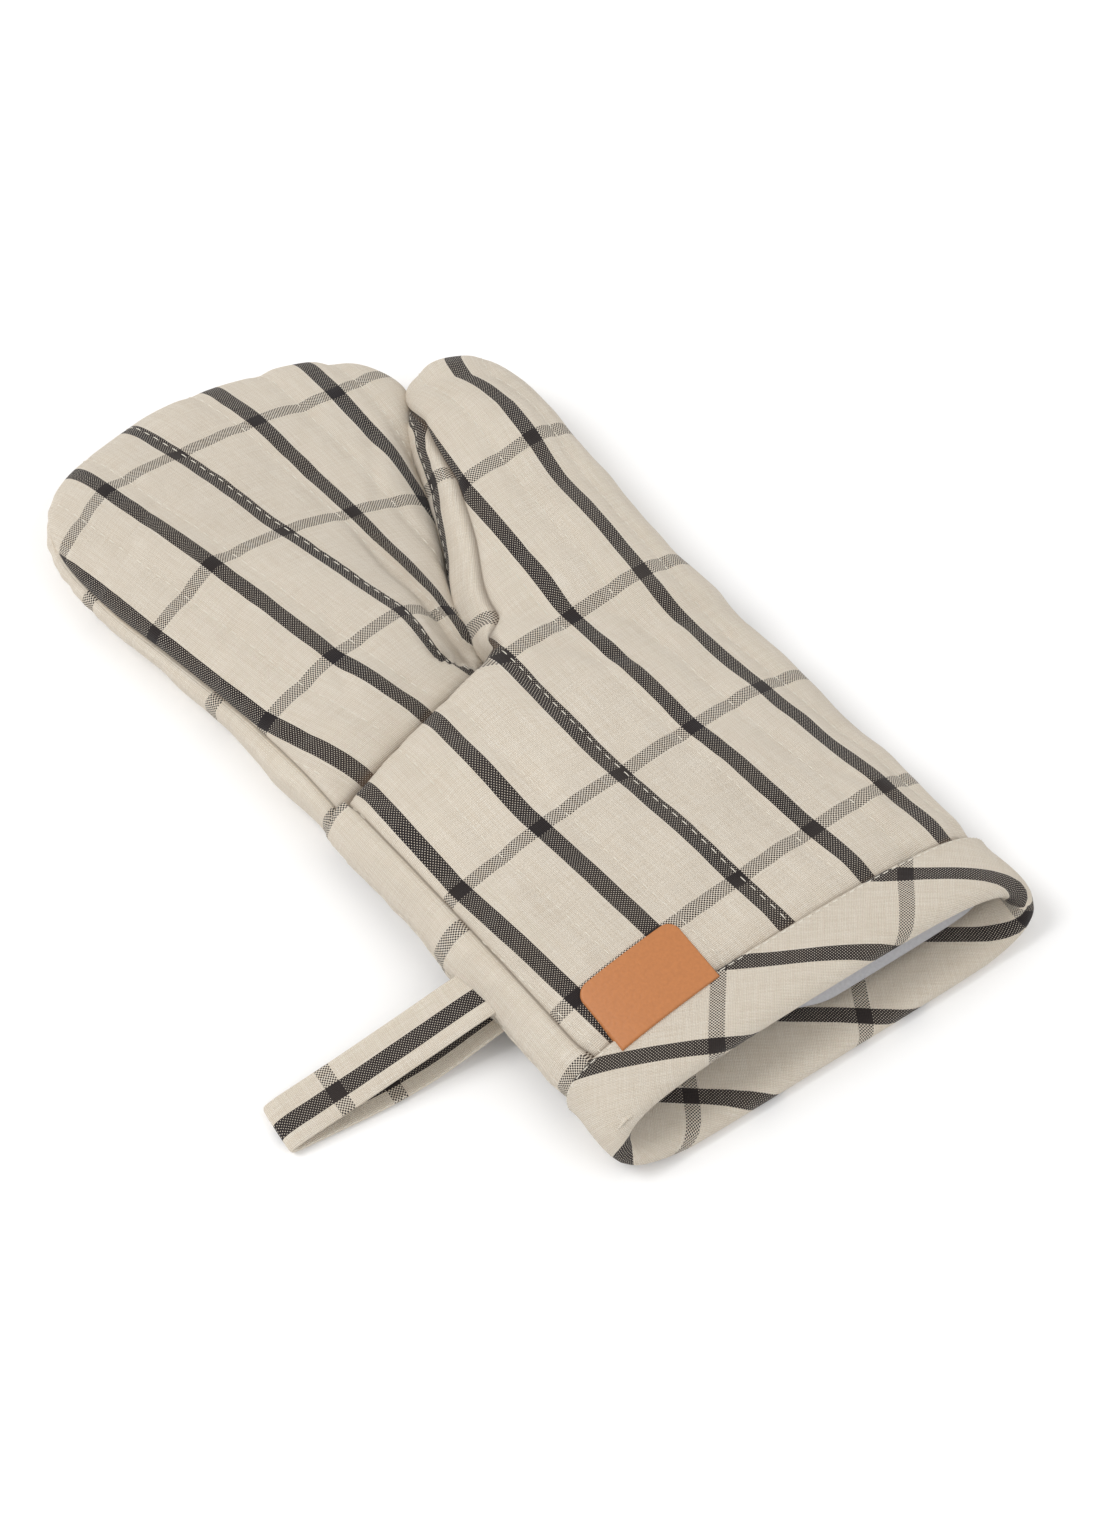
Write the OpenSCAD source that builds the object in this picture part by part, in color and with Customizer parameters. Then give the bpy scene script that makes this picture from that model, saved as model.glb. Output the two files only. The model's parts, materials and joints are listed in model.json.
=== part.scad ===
// Quilted oven mitt, lying on its back panel with the front panel up.
// +X points to the thumb side, +Y to the fingertips, +Z up.
// The origin is the middle of the hand part, on the surface that the mitt lies on.
// Each panel is three layers deep: checked shell, wadding and white lining.

/* [Palm and cuff] */
// Width of the cuff at its mouth
cuff_w = 167; // [155:1:180]
// Width of the palm where the fingers fold
knuckle_w = 163.5; // [155:0.5:170]
// Middle of the cuff's mouth, across the mitt
mouth_x = -1.5; // [-3:0.5:0]
// Middle of the palm where the fingers fold, across the mitt
knuckle_x = -0.5; // [-2:0.5:1]
// Place of the cuff's mouth along the mitt, at the middle
mouth_y = -165; // [-185:1:-150]
// How far the mouth runs back for each millimetre across
mouth_slope = 0.07; // [0:0.01:0.12]
// Height of the cuff's front panel above the surface
cuff_top = 37; // [32:1:42]
// Height of the palm's front panel above the surface
palm_top = 39; // [34:1:44]
// Height of the front panel at the crease between palm and fingers
crease_top = 28; // [26:0.5:30]
// Height of the side seam above the surface
seam_z = 16; // [15:0.5:18]

/* [Fingers and thumb] */
// Place of the crotch between fingers and thumb, across the mitt
crotch_x = 5; // [0:1:10]
// Place of the crotch along the mitt
crotch_y = 16; // [10:1:22]
// Turn of the crease under the fingers
finger_turn = 8; // [4:0.5:12]
// Turn of the crease under the thumb
thumb_turn = 29.4; // [27:0.1:32]
// Height of the stuffed fingers
finger_top = 31; // [29:1:34]
// Height of the stuffed thumb
thumb_top = 32; // [29:1:35]
// Clearance between two sections at their crease
section_gap = 0.35; // [0.3:0.05:0.6]

/* [Layers] */
// Thickness of the shell cloth
shell_t = 1; // [0.8:0.1:1.2]
// Thickness of the wadding
wadding_t = 5; // [4:0.5:6]
// Thickness of the lining cloth
lining_t = 1; // [0.8:0.1:1.2]

/* [Cuff binding and label] */
// Thickness of the binding strip
binding_t = 1.1; // [0.9:0.1:1.2]
// Width of the binding on the outside
binding_out = 28; // [20:1:32]
// Width of the binding on the inside
binding_in = 24; // [16:1:30]
// Length of the leather label across the mitt
label_w = 40; // [36:1:48]
// Height of the leather label along the mitt
label_h = 25; // [20:1:28]
// Thickness of the leather label
label_t = 1.5; // [1.2:0.1:2]

/* [Hanging loop] */
// Length of the loop from the side seam to its tip
loop_l = 72; // [66:1:90]
// Width of the loop's tape
tape_w = 19; // [15:0.5:22]
// Thickness of the folded tape
tape_t = 1.9; // [1.4:0.1:2.2]
// Widest half gap between the loop's two runs
loop_gap = 3.5; // [3:0.1:4]
// Place of the loop's root along the mitt
loop_y = -77; // [-100:0.5:-50]
// Turn of the loop towards the fingers
loop_turn = 8; // [0:1:12]

/* [Hidden] */

// Colours
cloth_color = [0.78, 0.73, 0.65];
wadding_color = [0.95, 0.95, 0.93];
lining_color = [0.90, 0.90, 0.93];
thread_color = [0.93, 0.91, 0.84];
leather_color = [0.76, 0.50, 0.30];

// Inset depths of the layers' faces, measured inwards from the outside
shell_k = shell_t;
wadding_k = shell_t + wadding_t;
lining_k = shell_t + wadding_t + lining_t;

// Sampling of the stuffed shapes
ROWS = 11;
COLS = 14;
THREAD_ROWS = 12;

// Roundness of a cross-section: 2 is an ellipse, more is squarer
ROUND = 2.6;
// The back panel is pressed flat by this much where it lies
PRESS = 2;
// Fractions of the palm's length: where it is fullest, and where it starts to thin towards the crease
FULL_V = 0.45;
THIN_V = 0.6;
// Fraction of the palm's length up to which the back panel clears the binding, and the ease before it
OVER_BIND_V = 0.32;
OVER_BIND_EASE = 0.12;
// Fraction of the fingers' or thumb's length over which their height grows from the crease
RISE_V = 0.35;
// Powers that shape the rounded tips
TIP_FULL = 7;
TIP_ROUND = 2.4;
// Power by which the rows crowd towards a tip
ROW_CROWD = 1.6;
// Clearance between the binding and the cloth that it covers
BIND_CLEAR = 0.3;
// Place of the binding's middle row of points, from the lip
BIND_MID = 12;
// Clearance that keeps thin things off the surface, and off the cloth below the label
THIN_CLEAR = 0.05;
LABEL_CLEAR = 0.1;

// Width and height of a thread line, and how deep it sinks in the cloth
THREAD_W = 0.9;
THREAD_PROUD = 0.35;
THREAD_SUNK = 0.4;
// The same for the thread on the binding and loop, and their distance in from the edge
EDGE_PROUD = 0.25;
EDGE_SUNK = 0.35;
BIND_STITCH_IN = 3;
LOOP_STITCH_IN = 2;

// Part numbers for the three stuffed sections
PALM = 0;
FINGERS = 1;
THUMB = 2;

// Outlines of the fingers and of the thumb, from the crease to the tip.
// Each point is [across, along], measured from the crotch in the section's own turned axes.
finger_left = [[-88, 0], [-82, 28], [-78, 60], [-75, 90], [-74, 118], [-68, 139], [-56, 156], [-42, 164]];
finger_right = [[-0.5, 0], [17, 30], [33.5, 57], [49, 82], [61, 99], [55, 121], [33, 142], [-2, 160]];
thumb_left = [[0.7, 0], [-2.5, 28], [-5.5, 55], [-8, 80], [-8.5, 100], [-4, 116], [4, 124]];
thumb_right = [[86.5, 0], [76, 20], [64, 43], [52, 67], [42, 90], [33, 110], [21, 122]];
FINGER_LEN = 163;
THUMB_LEN = 123;

// Lengthwise quilting lines, as fractions of the half width
palm_lines = [-0.86, -0.57, -0.28, 0.02, 0.31, 0.6, 0.88];
finger_lines = [-0.8, -0.42, -0.04, 0.34, 0.72];
thumb_lines = [-0.55, 0, 0.55];
// Where those lines start and end, as fractions of each section's length
PALM_RUN = [0.19, 0.99];
FINGER_RUN = [0.01, 0.88];
THUMB_RUN = [0.01, 0.86];

// Middle of the label across the palm, and where the quilting starts behind it
label_x = -42;
label_e = (label_x - mouth_x) * 2 / cuff_w;
LABEL_MARGIN = 0.04;
label_reach = label_w / cuff_w + LABEL_MARGIN;
LABEL_END = 0.33;

function clamp01(t) = min(1, max(0, t));
function mix(a, b, t) = a + (b - a) * t;
function smooth(t) = clamp01(t) * clamp01(t) * (3 - 2 * clamp01(t));
function signed_pow(c, n) = sign(c) * pow(abs(c), n);

// A point at fraction t along a smooth curve through the points of a list
function spline(p, t) =
    let (n = len(p) - 1, s = clamp01(t) * n, i = min(n - 1, floor(s)), f = s - i,
         b = p[i], c = p[i + 1],
         a = i > 0 ? p[i - 1] : 2 * b - c,
         d = i < n - 1 ? p[i + 2] : 2 * c - b)
    0.5 * (2 * b + (c - a) * f + (2 * a - 5 * b + 4 * c - d) * f * f
           + (3 * b - a - 3 * c + d) * f * f * f);

// Height fraction of a cross-section at fraction e of its half width
function crown(e) = pow(max(0, 1 - pow(abs(e), ROUND)), 1 / ROUND);

// Height above the surface, of the front (side 1) or back (side -1) at inset k
function level(side, k, top, h, low) =
    side > 0 ? seam_z + (top - k - seam_z) * h
             : max(k + low, seam_z - (seam_z + PRESS - k) * h);

// Edge of the palm section at the creases, and the mouth's edge
function crease_y(x) = x < crotch_x
    ? crotch_y + (x - crotch_x) * tan(finger_turn)
    : crotch_y - (x - crotch_x) * tan(thumb_turn);
function lip_y(x) = mouth_y - x * mouth_slope;

// Palm: v runs from the mouth to the creases, e from the left seam (-1) to the right (1)
function palm_point(k, v, e, side) =
    let (half = mix(cuff_w, knuckle_w, v) / 2 - k,
         x = mix(mouth_x, knuckle_x, v) + e * half,
         full = mix(cuff_top, palm_top, smooth(v / FULL_V)),
         top = mix(full, crease_top, smooth((v - THIN_V) / (1 - THIN_V))),
         low = (binding_t + BIND_CLEAR) * clamp01((OVER_BIND_V - v) / OVER_BIND_EASE))
    [x, mix(lip_y(x), crease_y(x), v), level(side, k, top, crown(e), low)];

// Fingers and thumb: v runs from the crease to the tip, where front and back meet at the seam
function section_point(left, right, run, turn, top, k, v, e, side) =
    let (f = v * (1 - k / run), l = spline(left, f), r = spline(right, f),
         w = norm(r - l), p = l + (r - l) * (0.5 + e * (0.5 - k / w)),
         s = p[0], t = p[1] + section_gap,
         tip = pow(max(0, 1 - pow(v, TIP_FULL)), 1 / TIP_ROUND),
         rise = mix(crease_top, top, smooth(v / RISE_V)))
    [crotch_x + s * cos(turn) - t * sin(turn),
     crotch_y + s * sin(turn) + t * cos(turn),
     level(side, k, rise, crown(e) * tip, 0)];

function place(part, k, v, e, side) =
    part == PALM ? palm_point(k, v, e, side)
    : part == FINGERS
    ? section_point(finger_left, finger_right, FINGER_LEN, finger_turn, finger_top, k, v, e, side)
    : section_point(thumb_left, thumb_right, THUMB_LEN, -thumb_turn, thumb_top, k, v, e, side);

// Rows crowd towards a tip, and columns towards the seams
function row_at(part, i) = part == PALM ? i / ROWS : 1 - pow(1 - i / ROWS, ROW_CROWD);
function col_at(j) = signed_pow(cos(180 * j / COLS), 2 / ROUND);

// Faces of a closed thick sheet of m by n points a side, outer points first
function sheet_faces(m, n, flip) =
    let (o = m * n,
         raw = [
             for (i = [0:m - 2], j = [0:n - 2])
                 each [[i * n + j, i * n + j + 1, (i + 1) * n + j + 1],
                       [i * n + j, (i + 1) * n + j + 1, (i + 1) * n + j],
                       [o + i * n + j, o + (i + 1) * n + j + 1, o + i * n + j + 1],
                       [o + i * n + j, o + (i + 1) * n + j, o + (i + 1) * n + j + 1]],
             for (i = [0:m - 2])
                 each [[i * n, (i + 1) * n, o + (i + 1) * n],
                       [i * n, o + (i + 1) * n, o + i * n],
                       [i * n + n - 1, o + (i + 1) * n + n - 1, (i + 1) * n + n - 1],
                       [i * n + n - 1, o + i * n + n - 1, o + (i + 1) * n + n - 1]],
             for (j = [0:n - 2])
                 each [[j, o + j + 1, j + 1],
                       [j, o + j, o + j + 1],
                       [(m - 1) * n + j, (m - 1) * n + j + 1, o + (m - 1) * n + j + 1],
                       [(m - 1) * n + j, o + (m - 1) * n + j + 1, o + (m - 1) * n + j]]
         ])
    [for (f = raw) flip ? [f[0], f[2], f[1]] : f];

// One layer of a section, between inset depths k0 (outside) and k1 (inside)
module layer(part, side, k0, k1) {
    points = [
        for (k = [k0, k1], i = [0:ROWS], j = [0:COLS])
            place(part, k, row_at(part, i), col_at(j), side)
    ];
    polyhedron(points, sheet_faces(ROWS + 1, COLS + 1, side < 0), convexity = 6);
}

// A thread line along a section, at fraction e of its half width, between rows v0 and v1
module thread_line(part, side, e, v0, v1) {
    de = THREAD_W / cuff_w;
    sunk = side > 0 ? THREAD_SUNK : THREAD_SUNK + THREAD_PROUD;
    proud = side > 0 ? -THREAD_PROUD : THIN_CLEAR;
    points = [
        for (k = [proud, sunk], i = [0:THREAD_ROWS], d = [de, -de])
            place(part, k, mix(v0, v1, i / THREAD_ROWS), e + d, side)
    ];
    polyhedron(points, sheet_faces(THREAD_ROWS + 1, 2, side < 0), convexity = 4);
}

module quilting(part, side, lines, run) {
    for (e = lines) {
        start = part == PALM && side > 0 && abs(e - label_e) < label_reach ? LABEL_END : run[0];
        thread_line(part, side, e, start, run[1]);
    }
}

module palm_front_shell() {
    color(cloth_color) layer(PALM, 1, 0, shell_k);
}

module palm_front_wadding() {
    color(wadding_color) layer(PALM, 1, shell_k, wadding_k);
}

module palm_front_lining() {
    color(lining_color) layer(PALM, 1, wadding_k, lining_k);
}

module palm_back_lining() {
    color(lining_color) layer(PALM, -1, wadding_k, lining_k);
}

module palm_back_wadding() {
    color(wadding_color) layer(PALM, -1, shell_k, wadding_k);
}

module palm_back_shell() {
    color(cloth_color) layer(PALM, -1, 0, shell_k);
}

module finger_front_shell() {
    color(cloth_color) layer(FINGERS, 1, 0, shell_k);
}

module finger_front_wadding() {
    color(wadding_color) layer(FINGERS, 1, shell_k, wadding_k);
}

module finger_front_lining() {
    color(lining_color) layer(FINGERS, 1, wadding_k, lining_k);
}

module finger_back_lining() {
    color(lining_color) layer(FINGERS, -1, wadding_k, lining_k);
}

module finger_back_wadding() {
    color(wadding_color) layer(FINGERS, -1, shell_k, wadding_k);
}

module finger_back_shell() {
    color(cloth_color) layer(FINGERS, -1, 0, shell_k);
}

module thumb_front_shell() {
    color(cloth_color) layer(THUMB, 1, 0, shell_k);
}

module thumb_front_wadding() {
    color(wadding_color) layer(THUMB, 1, shell_k, wadding_k);
}

module thumb_front_lining() {
    color(lining_color) layer(THUMB, 1, wadding_k, lining_k);
}

module thumb_back_lining() {
    color(lining_color) layer(THUMB, -1, wadding_k, lining_k);
}

module thumb_back_wadding() {
    color(wadding_color) layer(THUMB, -1, shell_k, wadding_k);
}

module thumb_back_shell() {
    color(cloth_color) layer(THUMB, -1, 0, shell_k);
}

// A point round the cuff, a distance d from the lip and at inset k
function cuff_point(k, d, e, side) =
    let (p = palm_point(k, 0, e, side), v = d / (crease_y(p[0]) - lip_y(p[0])),
         q = palm_point(k, max(0, v), e, side))
    [q[0], lip_y(q[0]) + d, q[2]];

// The binding wraps the cuff's raw edges: outside run, edge, inside run
module cuff_binding() {
    out_k = -BIND_CLEAR;
    in_k = lining_k + BIND_CLEAR;
    profile = [
        [out_k - binding_t, binding_out], [out_k - binding_t, BIND_MID], [out_k - binding_t, -binding_t],
        [in_k + binding_t, -binding_t], [in_k + binding_t, BIND_MID], [in_k + binding_t, binding_in],
        [in_k, binding_in], [in_k, BIND_MID], [in_k, 0],
        [out_k, 0], [out_k, BIND_MID], [out_k, binding_out]
    ];
    n = len(profile);
    m = 2 * COLS;
    points = [
        for (c = [0:m - 1], q = profile)
            cuff_point(q[0], q[1], signed_pow(cos(180 * c / COLS), 2 / ROUND),
                       c < COLS ? 1 : -1)
    ];
    faces = [
        for (c = [0:m - 1], i = [0:n - 1])
            let (a = c * n + i, b = c * n + (i + 1) % n,
                 e = ((c + 1) % m) * n + i, f = ((c + 1) % m) * n + (i + 1) % n)
            each [[a, e, f], [a, f, b]]
    ];
    color(cloth_color) polyhedron(points, faces, convexity = 8);
}

// A thread ring round the binding, just inside its sewn edge
module binding_topstitch() {
    d0 = binding_out - BIND_STITCH_IN;
    m = 2 * COLS;
    k_in = -BIND_CLEAR - binding_t + EDGE_SUNK;
    k_out = -BIND_CLEAR - binding_t - EDGE_PROUD;
    profile = [[k_out, d0 + THREAD_W], [k_out, d0], [k_in, d0], [k_in, d0 + THREAD_W]];
    points = [
        for (c = [0:m - 1], q = profile)
            let (side = c < COLS ? 1 : -1,
                 p = cuff_point(q[0], q[1], signed_pow(cos(180 * c / COLS), 2 / ROUND), side))
            [p[0], p[1], max(THIN_CLEAR, p[2])]
    ];
    faces = [
        for (c = [0:m - 1], i = [0:3])
            let (a = c * 4 + i, b = c * 4 + (i + 1) % 4,
                 e = ((c + 1) % m) * 4 + i, f = ((c + 1) % m) * 4 + (i + 1) % 4)
            each [[a, e, f], [a, f, b]]
    ];
    color(thread_color) polyhedron(points, faces, convexity = 8);
}

// Leather label, sewn to the front panel with its lower edge at the binding
LABEL_GAP = 1;
LABEL_COLS = 6;
LABEL_ROWS = 3;

// A point on the label's area: across and along in millimetres from its lower middle
function label_point(x, d, k) =
    let (half = cuff_w / 2, e = (label_x + x - mouth_x) / half)
    cuff_point(k, binding_out + LABEL_GAP + d, e, 1);

module leather_label() {
    points = [
        for (k = [-label_t - LABEL_CLEAR, -LABEL_CLEAR], i = [0:LABEL_ROWS], j = [0:LABEL_COLS])
            label_point(label_w * (0.5 - j / LABEL_COLS), label_h * i / LABEL_ROWS, k)
    ];
    color(leather_color)
        polyhedron(points, sheet_faces(LABEL_ROWS + 1, LABEL_COLS + 1, false), convexity = 4);
}

module palm_front_quilting() {
    color(thread_color) quilting(PALM, 1, palm_lines, PALM_RUN);
}

module palm_back_quilting() {
    color(thread_color) quilting(PALM, -1, palm_lines, PALM_RUN);
}

module finger_front_quilting() {
    color(thread_color) quilting(FINGERS, 1, finger_lines, FINGER_RUN);
}

module finger_back_quilting() {
    color(thread_color) quilting(FINGERS, -1, finger_lines, FINGER_RUN);
}

module thumb_front_quilting() {
    color(thread_color) quilting(THUMB, 1, thumb_lines, THUMB_RUN);
}

module thumb_back_quilting() {
    color(thread_color) quilting(THUMB, -1, thumb_lines, THUMB_RUN);
}

// The loop lies slanted from the side seam down to its tip on the surface
LOOP_STEPS = 16;
LOOP_CLEAR = 1;
// Powers that shape its droop and its opening, and where the opening starts and ends
LOOP_DROOP = 1.15;
LOOP_BULGE = 0.8;
LOOP_OPEN = [0.05, 0.97];
loop_x = mouth_x - cuff_w / 2 - LOOP_CLEAR - tape_t;
loop_tip = seam_z - tape_t;

function loop_mid(t) = -loop_tip * pow(t, LOOP_DROOP);
function loop_half(t) = loop_gap * pow(sin(180 * clamp01(t)), LOOP_BULGE);

// Side outline of one face of the loop, from the root to the tip
function loop_line(out, t0, t1) = [
    for (i = [0:LOOP_STEPS])
        let (t = mix(t0, t1, i / LOOP_STEPS))
        [t * loop_l, loop_mid(t) + out * (loop_half((t - t0) / (t1 - t0)))]
];

module loop_frame() {
    translate([loop_x, loop_y, seam_z]) rotate([0, 0, 180 - loop_turn]) rotate([90, 0, 0]) children();
}

// One piece of tape, folded at the tip and caught at both ends in the side seam
module hanging_loop() {
    lift = [0, tape_t];
    upper = [for (p = loop_line(1, 0, 1)) p + lift];
    lower = [for (p = loop_line(-1, 0, 1)) p - lift];
    inner_upper = loop_line(1, LOOP_OPEN[0], LOOP_OPEN[1]);
    inner_lower = loop_line(-1, LOOP_OPEN[0], LOOP_OPEN[1]);
    color(cloth_color) loop_frame()
        linear_extrude(height = tape_w, center = true)
            difference() {
                polygon(concat(upper, [for (i = [LOOP_STEPS:-1:0]) lower[i]]));
                polygon(concat(inner_upper, [for (i = [LOOP_STEPS - 1:-1:1]) inner_lower[i]]));
            }
}

// Thread along both edges of the loop's upper run
module loop_edge_stitching() {
    lift = [0, tape_t + EDGE_PROUD];
    sink = [0, tape_t - EDGE_SUNK];
    line = loop_line(1, 0, 1);
    high = [for (i = [1:LOOP_STEPS - 1]) line[i] + lift];
    low = [for (i = [LOOP_STEPS - 1:-1:1]) line[i] + sink];
    color(thread_color) loop_frame()
        for (s = [-1, 1]) {
            translate([0, 0, s * (tape_w / 2 - LOOP_STITCH_IN)])
                linear_extrude(height = THREAD_W, center = true) polygon(concat(high, low));
        }
}

palm_front_shell();
palm_front_wadding();
palm_front_lining();
palm_back_lining();
palm_back_wadding();
palm_back_shell();
finger_front_shell();
finger_front_wadding();
finger_front_lining();
finger_back_lining();
finger_back_wadding();
finger_back_shell();
thumb_front_shell();
thumb_front_wadding();
thumb_front_lining();
thumb_back_lining();
thumb_back_wadding();
thumb_back_shell();
cuff_binding();
binding_topstitch();
leather_label();
palm_front_quilting();
palm_back_quilting();
finger_front_quilting();
finger_back_quilting();
thumb_front_quilting();
thumb_back_quilting();
hanging_loop();
loop_edge_stitching();
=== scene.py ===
"""Looks of the quilted oven mitt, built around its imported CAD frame. Lengths inside are millimetres."""
import json
import math

import bmesh
import bpy
import numpy as np
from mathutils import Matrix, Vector


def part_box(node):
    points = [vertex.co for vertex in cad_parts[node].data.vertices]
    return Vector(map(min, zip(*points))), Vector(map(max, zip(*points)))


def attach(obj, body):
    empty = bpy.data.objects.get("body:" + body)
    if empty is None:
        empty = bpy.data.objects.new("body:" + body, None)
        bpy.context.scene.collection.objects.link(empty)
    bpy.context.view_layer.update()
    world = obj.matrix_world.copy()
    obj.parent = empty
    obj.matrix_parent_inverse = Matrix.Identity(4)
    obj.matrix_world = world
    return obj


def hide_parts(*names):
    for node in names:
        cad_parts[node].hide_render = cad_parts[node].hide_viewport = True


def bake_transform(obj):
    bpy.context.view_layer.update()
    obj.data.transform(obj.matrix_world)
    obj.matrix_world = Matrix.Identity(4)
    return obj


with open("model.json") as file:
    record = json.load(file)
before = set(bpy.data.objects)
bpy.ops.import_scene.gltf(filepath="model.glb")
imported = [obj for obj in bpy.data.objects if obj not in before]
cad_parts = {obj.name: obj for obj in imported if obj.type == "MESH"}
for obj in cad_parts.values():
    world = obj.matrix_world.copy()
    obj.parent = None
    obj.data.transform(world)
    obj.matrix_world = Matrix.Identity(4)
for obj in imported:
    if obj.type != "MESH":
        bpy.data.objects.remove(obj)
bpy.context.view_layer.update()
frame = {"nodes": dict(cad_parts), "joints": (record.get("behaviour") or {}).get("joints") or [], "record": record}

MM = 0.001


# ------ places taken from the frame

def box_mm(node):
    lo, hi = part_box(node)
    return np.array(lo) / MM, np.array(hi) / MM


joints = {j["name"]: j for j in frame["joints"]}
CROTCH = np.array(joints["finger_fold"]["pos_m"][:2]) / MM
ACROSS_F = np.array(joints["finger_fold"]["axis"][:2])
ALONG_F = np.array([-ACROSS_F[1], ACROSS_F[0]])
ACROSS_T = np.array(joints["thumb_fold"]["axis"][:2])
ALONG_T = np.array([-ACROSS_T[1], ACROSS_T[0]])
LOOP_ROOT = np.array(joints["loop_swing"]["pos_m"]) / MM

palm_lo, palm_hi = box_mm("palm_front_shell")
cuff_lo, cuff_hi = box_mm("cuff_binding")

# The cloth's own shape: the hand lies nearer the thumb than the CAD panel does, and is a little slimmer
TO_THUMB, SLIMMER, KNUCKLE_TAPER = 2.5, 1.5, 1.2
MID_X = (palm_lo[0] + palm_hi[0]) / 2 + TO_THUMB
HALF_MOUTH = (palm_hi[0] - palm_lo[0]) / 2 - SLIMMER
HALF_KNUCKLE = HALF_MOUTH - KNUCKLE_TAPER
# The lip runs at a slant, inside the CAD binding
LIP_SLOPE, LIP_MARGIN = 0.07, 1.1
LIP_MID = cuff_lo[1] + LIP_MARGIN + LIP_SLOPE * cuff_hi[0]
# Corner of the crease, just below the axes of the two folds
FOLD = CROTCH - np.array([2.5, 4.0])
# Every section is widest at this height. Its lower half is cut off flat where it rests
WIDEST_Z, CUT_OFF, REST_GAP = 14.0, 3.0, 0.4

# Check of the cloth: spacing and width of its lengthwise and cross stripes, and the size of one weave cell
STRIPE_U, WARP_STRIPE = 33.0, 6.0
STRIPE_V, WEFT_STRIPE = 62.0, 5.3
CELL = 0.57
# Quilting lines, in the cloth's lengthwise coordinate
QUILT_GAP, QUILT_AT = 25.0, 1.5


# ------ small mathematics

def smooth(t):
    t = np.clip(t, 0, 1)
    return t * t * (3 - 2 * t)


def mix(a, b, t):
    return a + (b - a) * t


def bell(x, width):
    return np.exp(-((x / width) ** 2))


# Below 1 a section is squarer than an ellipse
POWER = 0.8


def across(psi):
    """Place across a rounded section, -1 to 1, at an angle from its left edge."""
    c = np.cos(psi)
    return -np.sign(c) * np.abs(c) ** POWER


def lift(psi):
    """Height in a rounded section, -1 below to 1 above, at the same angle."""
    s = np.sin(psi)
    return np.sign(s) * np.abs(s) ** POWER


def spline(points, t):
    """Catmull-Rom curve through points, at fractions t."""
    p = np.array(points, float)
    n = len(p) - 1
    s = np.clip(np.asarray(t, float), 0, 1) * n
    i = np.minimum(n - 1, np.floor(s).astype(int))
    f = (s - i)[..., None]
    ext = np.vstack([2 * p[0] - p[1], p, 2 * p[-1] - p[-2]])
    a, b, c, d = ext[i], ext[i + 1], ext[i + 2], ext[i + 3]
    return 0.5 * (2 * b + (c - a) * f + (2 * a - 5 * b + 4 * c - d) * f**2 + (3 * b - a - 3 * c + d) * f**3)


def ripple(x, y, seed=0.0):
    """Soft uneven stuffing: a few crossed waves with fixed phases, about -1 to 1."""
    waves = (
        (0.018, 0.009, 0.3, 0.40), (0.009, -0.022, 1.7, 0.36), (0.031, 0.019, 4.1, 0.24),
        (-0.022, 0.035, 2.6, 0.18), (0.051, -0.029, 5.2, 0.10), (0.027, 0.062, 0.9, 0.08),
    )
    return sum(a * np.sin(2 * np.pi * (fx * x + fy * y) + ph + seed) for fx, fy, ph, a in waves)


def lip_y(x):
    """Line that the palm's rows start from, at the cuff."""
    return LIP_MID - LIP_SLOPE * x


def crease_y(x):
    """Line of the two creases, which meet at the corner."""
    left = FOLD[1] + (x - FOLD[0]) * ACROSS_F[1] / ACROSS_F[0]
    right = FOLD[1] + (x - FOLD[0]) * ACROSS_T[1] / ACROSS_T[0]
    return np.where(x < FOLD[0], left, right)


def section_z(up, top, mid, k):
    """Height in a section that lies on a table: flat where it rests."""
    z = np.where(up > 0, mid + (top - k - mid) * up, mid + (mid + CUT_OFF - k) * up)
    return np.maximum(z, k + REST_GAP)


# ------ the hand's shape

# Outlines of the fingers and thumb, [across, along] from the crease's corner, in each one's own axes
FINGER_L = [
    (-81.5, 0), (-76.5, 30), (-73.5, 58), (-72, 88), (-71, 116), (-66.5, 142), (-56, 159.5), (-40, 167.5),
]
FINGER_R = [(0, 0), (14, 30), (33.5, 57), (50.5, 82), (68, 103), (65, 122), (45, 142), (0, 165)]
THUMB_L = [(0, 0), (-9.5, 23), (-8.5, 49), (-9.5, 72), (-11.8, 96), (-9.5, 118), (0, 132)]
THUMB_R = [(90.7, 0), (78, 22), (66.5, 45), (55, 70), (44, 93), (34, 114), (19, 132.5)]
FINGER_LEN = 166.0
THUMB_LEN = 133.0
# Angle of the seam between front and back, round the section from the widest place up
PALM_SEAM = math.radians(32.0)
FINGER_SEAM_V = (0, 0.25, 0.55, 0.85, 0.95)
FINGER_SEAM = np.radians((32, 22, 12, 5, 0))
THUMB_SEAM_T = (0, 14, 68, 94, 109, 133)
THUMB_SEAM = np.radians((32, 46, 50, 40, 4, 0))
# Height of the palm, from the lip (0) to the crease (1)
PALM_TOP_V = (0, 0.06, 0.17, 0.5, 0.8, 1.0)
PALM_TOP_Z = (33.0, 34.5, 36.5, 39.5, 38.5, 36.0)
# Height of the thumb at its root and beyond its middle, and the length over which it finds its own section
THUMB_ROOT_Z, THUMB_TOP_Z, THUMB_EASE = 36.0, 34.5, 16.0
# The thumb's inner wall ends this far under the section
WALL_TURN = math.radians(70)
# Height of the fingers where they leave the crease, how far they swell and over what length
FINGER_ROOT_Z, FINGER_SWELL, SWELL_RUN = 27.0, 4.5, 18.0
# Flange of the fingers under the palm's edge: its length, rows, inset at the sides and drop
FLANGE, FLANGE_ROWS, FLANGE_INSET, FLANGE_DROP = 10.0, 8, 2.0, 2.0


def palm_top(v):
    return np.interp(v, PALM_TOP_V, PALM_TOP_Z)


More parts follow.
